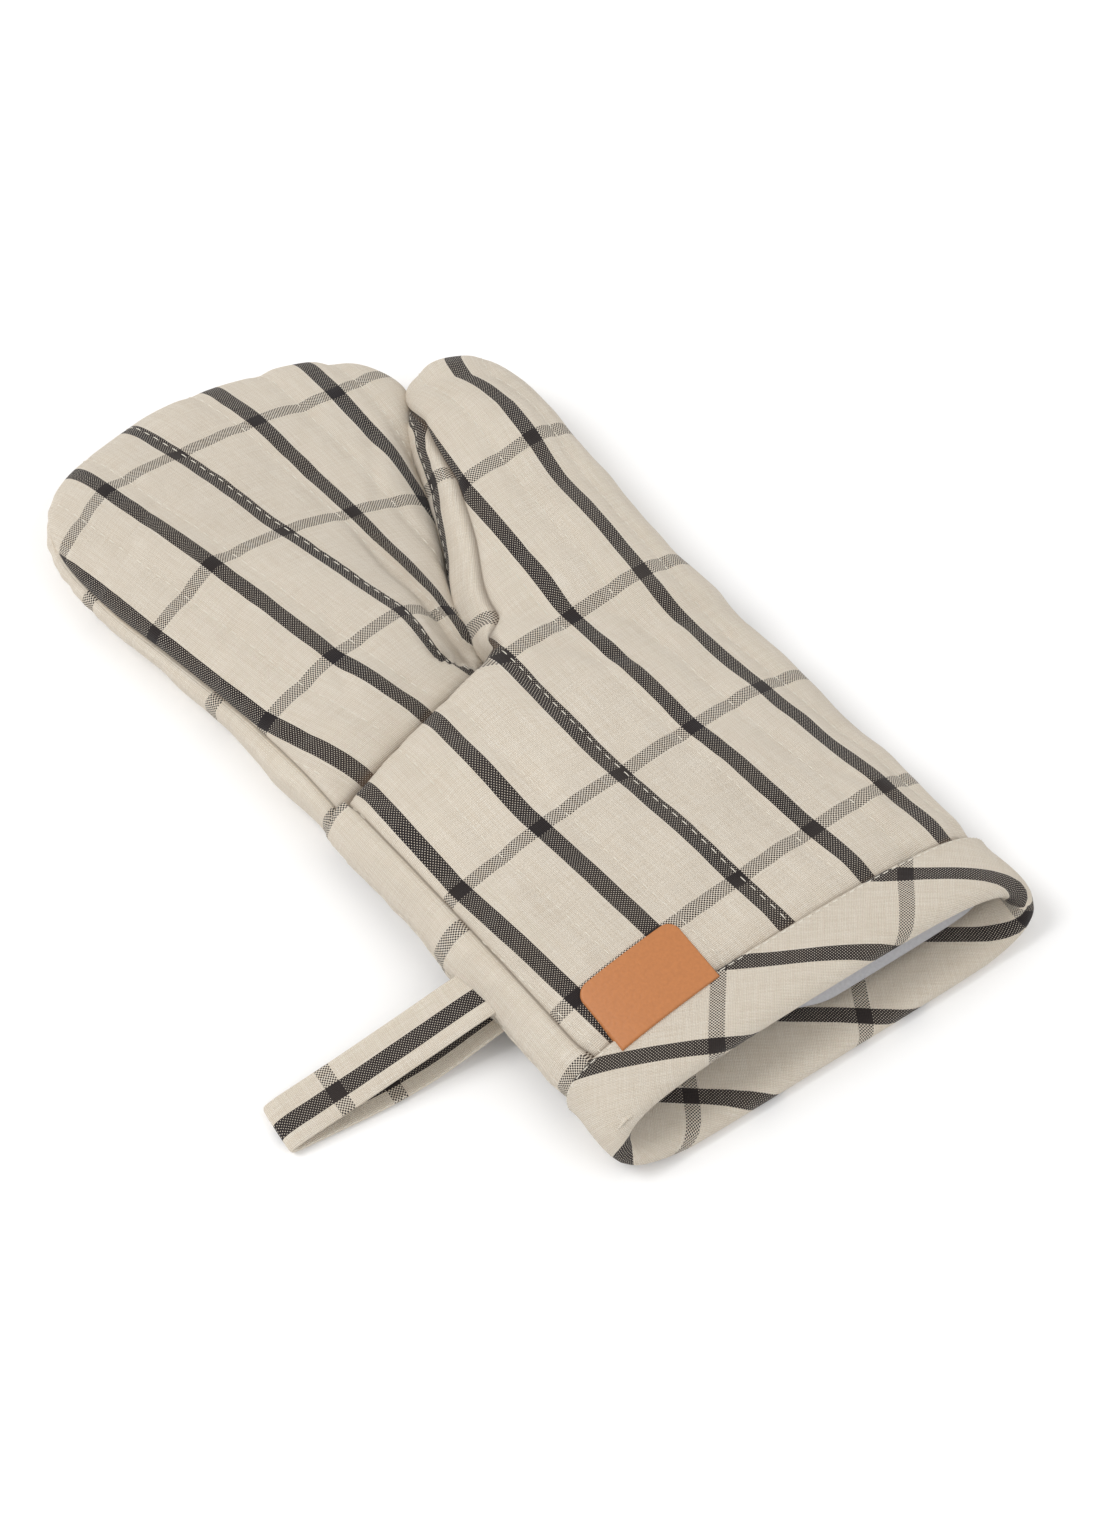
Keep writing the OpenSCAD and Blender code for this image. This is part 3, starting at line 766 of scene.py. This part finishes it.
# The length round the cuff is measured on this row, in the middle of the outside
OUTSIDE_ROW = 5
around = arc(ring[OUTSIDE_ROW:OUTSIDE_ROW + 1])
run = np.concatenate([[0], np.cumsum([math.dist(a, b) for a, b in zip(BINDING, BINDING[1:])])])[:, None]
run = run + HEM_SHARE[:, None] * DEEP_HEM
u_b = around * math.sin(BIAS) + run * math.cos(BIAS) + BIND_U
v_b = -around * math.cos(BIAS) + run * math.sin(BIAS) + BIND_V
binding_piece = Build().grid(ring, u_b, v_b, flip=True).make("cuff_binding_cloth")

# The palm's lining starts under the hem and ends before the crease
LINING_INSET, LINING_FROM, LINING_TO, LINING_ROWS = 7.4, 12.0, 130.0, 40
lining_rings = [cuff_ring(d, LINING_INSET) for d in np.linspace(LINING_FROM, LINING_TO, LINING_ROWS)]
palm_lining = Build().grid(np.stack(lining_rings), flip=True).make("palm_lining_cloth")


def lining(grid_of, name):
    front, back = grid_of(1, LINING_INSET), grid_of(-1, LINING_INSET)
    return Build().grid(front).grid(back, flip=True).make(name)


finger_lining = lining(finger_grid, "finger_lining_cloth")
thumb_lining = lining(thumb_rows, "thumb_lining_cloth")


# ------ leather label

def label_outline(inset):
    """Outline with round upper corners and square lower ones, as offsets from the middle."""
    w, h, r = LABEL_W / 2 - inset, LABEL_H / 2 - inset, LABEL_R - inset * 0.6
    pts = [(x, -h) for x in np.linspace(-w, w, 30)[:-1]]
    pts += [(w, y) for y in np.linspace(-h, h - r, 18)[:-1]]
    pts += [(w - r + r * math.cos(a), h - r + r * math.sin(a)) for a in np.linspace(0, math.pi / 2, 9)]
    pts += [(x, h) for x in np.linspace(w - r, -w + r, 24)[1:-1]]
    pts += [(-w + r - r * math.sin(a), h - r + r * math.cos(a)) for a in np.linspace(0, math.pi / 2, 9)]
    pts += [(-w, y) for y in np.linspace(h - r, -h, 18)[1:-1]]
    return np.array(pts)


def label_ring(inset, raised):
    """One ring of the label on the palm; inside its flat top the rings shrink towards the middle."""
    p = label_outline(min(inset, LABEL_FLAT))
    if inset > LABEL_FLAT:
        p = p * (1 - (inset - LABEL_FLAT) / (LABEL_W / 2 - LABEL_FLAT))
    x = LABEL_MID[0] + p[:, 0] * math.cos(LABEL_TURN) - p[:, 1] * math.sin(LABEL_TURN)
    y = LABEL_MID[1] + p[:, 0] * math.sin(LABEL_TURN) + p[:, 1] * math.cos(LABEL_TURN)
    return np.stack([x, y, palm_z(x, y) + raised - LABEL_SINK], axis=-1)


# Inset at which the flat top starts, and how deep the label sits in the cloth
LABEL_FLAT, LABEL_SINK = 0.8, 0.4
# Inset and height of each ring, from under the cloth over the round edge to the middle
LABEL_RINGS = [(0.0, -0.8), (0.0, LABEL_T * 0.6), (0.12, LABEL_T * 0.85), (0.45, LABEL_T)]
LABEL_RINGS += [(LABEL_FLAT, LABEL_T)] + [(i, LABEL_T) for i in np.linspace(2.5, LABEL_W / 2, 8)]
label = Build().grid(np.stack([label_ring(i, z) for i, z in LABEL_RINGS]), closed=True)
label_piece = label.make("leather_label_piece")


# ------ hanging loop

LOOP_TURN = math.radians(8)
LOOP_OUT = np.array([-math.cos(LOOP_TURN), math.sin(LOOP_TURN)])
LOOP_ACROSS = np.array([LOOP_OUT[1], -LOOP_OUT[0]])
LOOP_START = LOOP_ROOT[:2] + np.array([13.9, -2.0])
TAPE_W, TAPE_T, TAPE_STEPS, LOWER_SHIFT = 18.5, 1.8, 150, -3.0
# Middle of the tape: distance out from its start inside the seam and height, over the upper run, round the
# fold and back along the lower run
UPPER_RUN = [(-8, 19.5), (0, 19.5), (8, 18.6), (16, 17), (26, 14.6), (40, 11.6), (54, 8.6), (68, 6.2),
             (77, 4.6)]
TAPE_FOLD = [(80.5, 3.6), (81.3, 2.6), (80.5, 1.8)]
LOWER_RUN = [(77, 1.3), (68, 1.2), (54, 1.3), (42, 1.5), (30, 2.4), (20, 4.6), (12, 7), (4, 9.5), (-8, 12)]


def tape_path():
    """Middle line of the tape and its normals, in the loop's upright plane."""
    p = spline(UPPER_RUN + TAPE_FOLD + LOWER_RUN, np.linspace(0, 1, TAPE_STEPS + 1))
    d = np.gradient(p, axis=0)
    d /= np.linalg.norm(d, axis=1, keepdims=True)
    return p, np.stack([d[:, 1], -d[:, 0]], axis=1)


def tape_grid():
    """A flat tube of cloth swept along the loop, its section a rounded strip with two folded edges."""
    p, n = tape_path()
    a = np.linspace(0, 2 * math.pi, 41)[:-1]
    w = np.sign(np.cos(a)) * np.abs(np.cos(a)) ** 0.45 * TAPE_W / 2
    h = np.sin(a) * TAPE_T / 2 * (1 + 0.18 * bell(np.abs(w) - TAPE_W / 2 + 1.2, 0.9))
    q = p[:, None, :] + n[:, None, :] * h[None, :, None]
    q[..., 1] = np.maximum(q[..., 1], 0.1)
    plan = LOOP_START + q[..., :1] * LOOP_OUT + w[None, :, None] * LOOP_ACROSS
    length = np.concatenate([[0], np.cumsum(np.linalg.norm(np.diff(p, axis=0), axis=1))])
    # The lower run lies a little towards the cuff, so that its edge shows below the upper run
    late = smooth((length / length[-1] - 0.45) / 0.3)
    plan = plan + (late * LOWER_SHIFT)[:, None, None] * LOOP_ACROSS
    return np.concatenate([plan, q[..., 1:]], axis=-1), w, length, n


# Shift of the cloth on the tape, across and lengthwise
LOOP_U, LOOP_V = 1.2, 7.0
loop_grid, loop_w, loop_len, loop_n = tape_grid()
loop_closed = np.concatenate([loop_grid, loop_grid[:, :1]], axis=1)
u_loop = -np.append(loop_w, loop_w[0])[None, :] - LOOP_U
loop_piece = Build().grid(loop_closed, u_loop, (loop_len - LOOP_V)[:, None]).make("hanging_loop_cloth")


# ------ stitches

# How deep the ends of a stitch go into the cloth
STITCH_SUNK = 0.45


def stitch_rows(build, line, up, stitch=2.9, pitch=4.5, width=0.38, proud=0.17):
    """Adds one stitch after another along a line of points; up is the outward direction at each point."""
    line, up = np.array(line), np.array(up)
    if len(line) < 3:
        return
    s = np.concatenate([[0], np.cumsum(np.linalg.norm(np.diff(line, axis=0), axis=1))])
    turn = np.linspace(0, 2 * math.pi, 7)[:-1]
    start = pitch * 0.4
    while start + stitch < s[-1]:
        at = start + stitch * np.array([0, 0.12, 0.5, 0.88, 1.0])
        p = np.stack([np.interp(at, s, line[:, c]) for c in range(3)], axis=1)
        n = np.stack([np.interp(at, s, up[:, c]) for c in range(3)], axis=1)
        n /= np.linalg.norm(n, axis=1, keepdims=True)
        side = np.cross(p[-1] - p[0], n[2])
        side /= max(np.linalg.norm(side), 1e-9)
        p = p + n * np.array([-STITCH_SUNK, proud * 0.3, proud, proud * 0.3, -STITCH_SUNK])[:, None]
        r = width / 2 * np.array([0.0, 0.85, 1.0, 0.85, 0.0])
        ring = p[:, None, :] + r[:, None, None] * (
            np.cos(turn)[None, :, None] * side + np.sin(turn)[None, :, None] * n[2] * 0.8)
        build.grid(ring, closed=True)
        start += pitch


# No stitches below this height, where the mitt rests; a longer jump between two rows ends a line
STITCH_LOW, LINE_BREAK = 1.5, 7.0


def quilting_lines(build, P, u, side, low=-math.inf):
    """Rows of stitches along every quilting line of a grid, beyond the place low."""
    n = normals(P) * side
    first = math.ceil((u.min() - QUILT_AT) / QUILT_GAP)
    last = math.floor((u.max() - QUILT_AT) / QUILT_GAP)
    for q in range(first, last + 1):
        value = QUILT_AT + q * QUILT_GAP
        line, up = [], []
        for i in range(len(P)):
            gap = u[i] - value
            hits = np.where((gap[:-1] < 0) & (gap[1:] >= 0))[0]
            if not len(hits):
                continue
            j = hits[0]
            f = -gap[j] / (gap[j + 1] - gap[j])
            p = mix(P[i, j], P[i, j + 1], f)
            if p[2] < STITCH_LOW or p[1] <= low:
                continue
            if line and np.linalg.norm(p - line[-1]) > LINE_BREAK:
                stitch_rows(build, line, up)
                line, up = [], []
            line.append(p)
            up.append(mix(n[i, j], n[i, j + 1], f))
        stitch_rows(build, line, up)


# The quilting starts beyond the binding, and on the fingers beyond the crease
FRONT_QUILT_Y, BACK_QUILT_Y, FINGER_QUILT_Y = -131.0, -136.0, 12.0
# Threads are so thin that their points are joined only at this distance
THREAD_MERGE = 0.001
quilt_build = Build()
quilting_lines(quilt_build, front_palm, u_palm, 1, low=FRONT_QUILT_Y)
quilting_lines(quilt_build, front_thumb, u_thumb, 1)
quilting_lines(quilt_build, back_palm, u_back_palm, -1, low=BACK_QUILT_Y)
quilting_lines(quilt_build, back_thumb, u_back_thumb, -1)
quilt_piece = quilt_build.make("palm_and_thumb_quilting_thread", merge=THREAD_MERGE)
finger_quilt = Build()
quilting_lines(finger_quilt, front_f, u_f, 1, low=FINGER_QUILT_Y)
quilting_lines(finger_quilt, back_f, u_back_f, -1, low=FINGER_QUILT_Y)
finger_quilt_piece = finger_quilt.make("finger_quilting_thread", merge=THREAD_MERGE)

# The binding's stitches follow this row of its grid
EDGE_ROW = 2
edge_build = Build()
ring_up = -normals(ring)[EDGE_ROW]
stitch_rows(edge_build, ring[EDGE_ROW], ring_up, pitch=3.4, stitch=2.3, width=0.42, proud=0.15)
edge_piece = edge_build.make("binding_edge_thread", merge=THREAD_MERGE)

# One row of stitches beside each folded edge of the tape, between its hidden ends
TAPE_EDGE_COLUMNS = (3, 17)
loop_build = Build()
rows = slice(8, len(loop_grid) - 8)
loop_up = np.concatenate([loop_n[:, :1] * LOOP_OUT, loop_n[:, 1:]], axis=1)[rows]
for column in TAPE_EDGE_COLUMNS:
    stitch_rows(loop_build, loop_grid[rows, column], loop_up, pitch=3.0, stitch=2.0, width=0.4, proud=0.12)
loop_thread = loop_build.make("loop_edge_thread", merge=THREAD_MERGE)


# ------ camera, light, floor

def look_at(obj, target):
    obj.rotation_mode = "QUATERNION"
    obj.rotation_quaternion = (Vector(target) - obj.location).to_track_quat("-Z", "Y")


AZIMUTH, ELEVATION = math.radians(-40.4), math.radians(59.6)
# Height of the view at the target, in metres, then lens and sensor in millimetres
VIEW_HEIGHT, LENS, SENSOR = 0.5115, 85.0, 36.0
target = Vector((-0.005, -0.0285, 0.018))
level = math.cos(ELEVATION)
back = Vector((math.sin(AZIMUTH) * level, -math.cos(AZIMUTH) * level, math.sin(ELEVATION)))
camera = bpy.data.objects.new("camera", bpy.data.cameras.new("camera"))
bpy.context.scene.collection.objects.link(camera)
camera.data.lens = LENS
camera.data.sensor_width = SENSOR
camera.location = target + back * (LENS / SENSOR * VIEW_HEIGHT)
look_at(camera, target)
bpy.context.scene.camera = camera

bpy.ops.mesh.primitive_plane_add(size=8.0, location=(0, 0, -0.0002))
floor = bpy.context.object
floor.name = "floor"


def area_light(name, place, size, power):
    data = bpy.data.lights.new(name, "AREA")
    data.size = size
    data.energy = power
    light = bpy.data.objects.new(name, data)
    bpy.context.scene.collection.objects.link(light)
    light.location = place
    look_at(light, (0, 0, 0))


area_light("key_light", (-1.1, 0.9, 1.9), 1.1, 27.0)
area_light("fill_light", (0.9, -1.3, 1.6), 1.8, 11.0)
SKY = 0.66
world = bpy.data.worlds.new("studio")
bpy.context.scene.world = world
world.use_nodes = True
background = world.node_tree.nodes["Background"]
background.inputs["Color"].default_value = (1, 1, 1, 1)
background.inputs["Strength"].default_value = SKY
bpy.context.scene.view_settings.view_transform = "Standard"


# ------ materials

class Nodes:
    """Short hand for building a node tree."""

    def __init__(self, name):
        self.mat = bpy.data.materials.new(name)
        self.mat.use_nodes = True
        self.tree = self.mat.node_tree
        self.shader = self.tree.nodes["Principled BSDF"]

    def add(self, kind, **props):
        node = self.tree.nodes.new(kind)
        for key, value in props.items():
            setattr(node, key, value)
        return node

    def link(self, a, b):
        self.tree.links.new(a, b)

    def math(self, op, a, b=None, c=None, clamp=False):
        node = self.add("ShaderNodeMath", operation=op, use_clamp=clamp)
        for socket, value in zip(node.inputs, (a, b, c)):
            if value is None:
                continue
            if isinstance(value, (int, float)):
                socket.default_value = value
            else:
                self.link(value, socket)
        return node.outputs[0]

    def mix(self, factor, a, b):
        node = self.add("ShaderNodeMix", data_type="RGBA")
        for socket, value in ((node.inputs[0], factor), (node.inputs[6], a), (node.inputs[7], b)):
            if isinstance(value, (tuple, list)):
                socket.default_value = (*value, 1.0)
            elif isinstance(value, (int, float)):
                socket.default_value = value
            else:
                self.link(value, socket)
        return node.outputs[2]

    def ramp(self, value, low, high):
        node = self.add("ShaderNodeMapRange")
        node.inputs["From Min"].default_value = low
        node.inputs["From Max"].default_value = high
        self.link(value, node.inputs["Value"])
        return node.outputs["Result"]

    def noise(self, vector, scale, detail=2.0):
        node = self.add("ShaderNodeTexNoise")
        node.inputs["Scale"].default_value = scale
        node.inputs["Detail"].default_value = detail
        self.link(vector, node.inputs["Vector"])
        return node.outputs["Fac"]

    def scaled(self, vector, factors):
        node = self.add("ShaderNodeVectorMath", operation="MULTIPLY")
        self.link(vector, node.inputs[0])
        node.inputs[1].default_value = factors
        return node.outputs[0]

    def surface(self, colour, height, values, depth, strength=1.0):
        """Gives the shader its colour, its bump and its plain values."""
        for name, value in values.items():
            self.shader.inputs[name].default_value = value
        bump = self.add("ShaderNodeBump")
        bump.inputs["Strength"].default_value = strength
        bump.inputs["Distance"].default_value = depth
        self.link(height, bump.inputs["Height"])
        self.link(bump.outputs[0], self.shader.inputs["Normal"])
        self.link(colour, self.shader.inputs["Base Color"])
        return self.mat


LIGHT_THREAD = (0.76, 0.665, 0.54)
PALE_THREAD = (0.88, 0.81, 0.70)
DARK_THREAD = (0.010, 0.007, 0.010)
# Tints: painted shade in the gaps between threads, random stains, and painted shade in seams and creases
GAP_SHADE_TINT, STAIN_TINT, PAINTED_SHADE_TINT = (0.05, 0.035, 0.02), (0.45, 0.36, 0.26), (0.16, 0.105, 0.065)
# How far dark threads cover pale ones, how dark the painted shade in the gaps gets, and how strong the painted
# shade in seams and creases is
DOT_CUT, GAP_SHADE, PAINTED_SHADE_STRENGTH = 0.66, 0.5, 0.62
CLOTH_VALUES = {"Roughness": 0.9, "Sheen Weight": 0.12, "Sheen Roughness": 0.5, "Specular IOR Level": 0.2}


def checked_cloth():
    n = Nodes("checked_linen")
    uv = n.add("ShaderNodeUVMap", uv_map="cloth").outputs["UV"]
    parts = n.add("ShaderNodeSeparateXYZ")
    n.link(uv, parts.inputs[0])
    u = n.math("MULTIPLY", parts.outputs["X"], 1000.0)
    v = n.math("MULTIPLY", parts.outputs["Y"], 1000.0)
    # Threads wander a little from straight lines
    wander = n.math("SUBTRACT", n.noise(uv, 60.0), 0.5)
    u = n.math("MULTIPLY_ADD", wander, 0.4, u)
    v = n.math("MULTIPLY_ADD", wander, -0.4, v)

    def stripe(value, spacing, width):
        near = n.math("ABSOLUTE", n.math("PINGPONG", n.math("ADD", value, spacing * 100), spacing / 2))
        return n.math("LESS_THAN", near, width / 2)

    warp_dark, weft_dark = stripe(u, STRIPE_U, WARP_STRIPE), stripe(v, STRIPE_V, WEFT_STRIPE)
    wave = n.math("MULTIPLY", n.math("SINE", n.math("MULTIPLY", u, math.pi / CELL)),
                  n.math("SINE", n.math("MULTIPLY", v, math.pi / CELL)))
    # The dark lengthwise threads are thick and leave only small dots of the pale cross threads
    shown = n.math("SUBTRACT", wave, n.math("MULTIPLY", warp_dark, DOT_CUT))
    weft_up = n.ramp(shown, 0.0, 0.1)
    slub_warp = n.noise(n.scaled(uv, (1300.0, 70.0, 1.0)), 1.0)
    slub_weft = n.noise(n.scaled(uv, (70.0, 1300.0, 1.0)), 1.0)
    tint = n.noise(uv, 25.0, 3.0)
    warp_light = n.mix(n.ramp(slub_warp, 0.35, 0.75), LIGHT_THREAD, PALE_THREAD)
    weft_light = n.mix(n.ramp(slub_weft, 0.35, 0.75), LIGHT_THREAD, PALE_THREAD)
    warp = n.mix(warp_dark, warp_light, DARK_THREAD)
    weft = n.mix(weft_dark, weft_light, DARK_THREAD)
    colour = n.mix(weft_up, warp, weft)
    # Painted shade: the gaps between threads are darker
    gap = n.ramp(n.math("ABSOLUTE", wave), 0.0, 0.25)
    gap_shade = n.math("MULTIPLY_ADD", gap, -GAP_SHADE, GAP_SHADE, clamp=True)
    colour = n.mix(gap_shade, colour, n.mix(0.65, colour, GAP_SHADE_TINT))
    colour = n.mix(n.ramp(tint, 0.3, 0.8), colour, n.mix(0.08, colour, STAIN_TINT))
    # Painted shade in seams, creases, round the tips and under the palm's edge, read from the attribute named seam
    seam = n.add("ShaderNodeAttribute", attribute_name="seam").outputs["Fac"]
    colour = n.mix(n.math("MULTIPLY", seam, PAINTED_SHADE_STRENGTH), colour, PAINTED_SHADE_TINT)
    slubs = n.math("MULTIPLY", n.math("ADD", slub_warp, slub_weft), 0.6)
    height = n.math("ADD", n.math("ABSOLUTE", wave), slubs)
    return n.surface(colour, height, CLOTH_VALUES, depth=0.0004, strength=0.7)


def plain(name, colour, roughness=0.85, bump_scale=900.0, bump_depth=0.0001, vary=0.1):
    """Material of one colour with a fine grain, which varies it a little and roughens it."""
    n = Nodes(name)
    grain = n.noise(n.add("ShaderNodeTexCoord").outputs["Object"], bump_scale, 3.0)
    shade = n.mix(n.ramp(grain, 0.3, 0.7), tuple(c * (1 - vary) for c in colour), colour)
    return n.surface(shade, grain, {"Roughness": roughness}, bump_depth)


cloth = checked_cloth()
lining_mat = plain("white_lining", (0.84, 0.84, 0.87))
thread_mat = plain("thread", (0.80, 0.75, 0.65))
leather_mat = plain("tan_leather", (0.50, 0.185, 0.056), 0.5)
floor_mat = plain("floor_white", (0.99, 0.985, 0.98), 0.9, 3.0, 0.0, vary=0.004)
floor.data.materials.append(floor_mat)

FINISH = (
    (cloth, "checked_cloth", (palm_piece, finger_piece, binding_piece, loop_piece)),
    (lining_mat, "lining", (palm_lining, finger_lining, thumb_lining)),
    (leather_mat, "leather", (label_piece,)),
    (thread_mat, "thread", (quilt_piece, finger_quilt_piece, edge_piece, loop_thread)),
)
for material, slot, made in FINISH:
    for piece in made:
        piece.data.materials.append(material)

slot_mats = {"checked_cloth": cloth, "wadding": lining_mat, "lining": lining_mat,
             "thread": thread_mat, "leather": leather_mat}
for part in frame["record"]["subparts"]:
    node = frame["nodes"][part["node"]]
    node.data.materials.clear()
    node.data.materials.append(slot_mats[part["material_slot"]])


def layers(section, *kinds):
    """Names of the CAD nodes of one section, front and back, kind by kind."""
    return [name for kind in kinds for name in frame["nodes"] if section + "_" in name and kind in name]


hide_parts(*layers("palm", "shell", "wadding"), *layers("thumb", "shell", "wadding"))
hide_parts(*layers("finger", "shell", "wadding"))
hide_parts(*layers("palm", "lining"))
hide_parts(*layers("finger", "lining"))
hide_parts(*layers("thumb", "lining"))
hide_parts(*layers("palm", "quilting"), *layers("thumb", "quilting"))
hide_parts(*layers("finger", "quilting"))
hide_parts("cuff_binding")
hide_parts("binding_topstitch")
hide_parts("leather_label")
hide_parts("hanging_loop")
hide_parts("loop_edge_stitching")


for piece in (palm_piece, quilt_piece, thumb_lining):
    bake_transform(piece)
for piece in (finger_piece, finger_quilt_piece, finger_lining):
    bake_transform(piece)
for piece in (palm_lining, binding_piece, edge_piece, label_piece):
    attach(piece, "palm")
for piece in (loop_piece, loop_thread):
    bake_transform(piece)
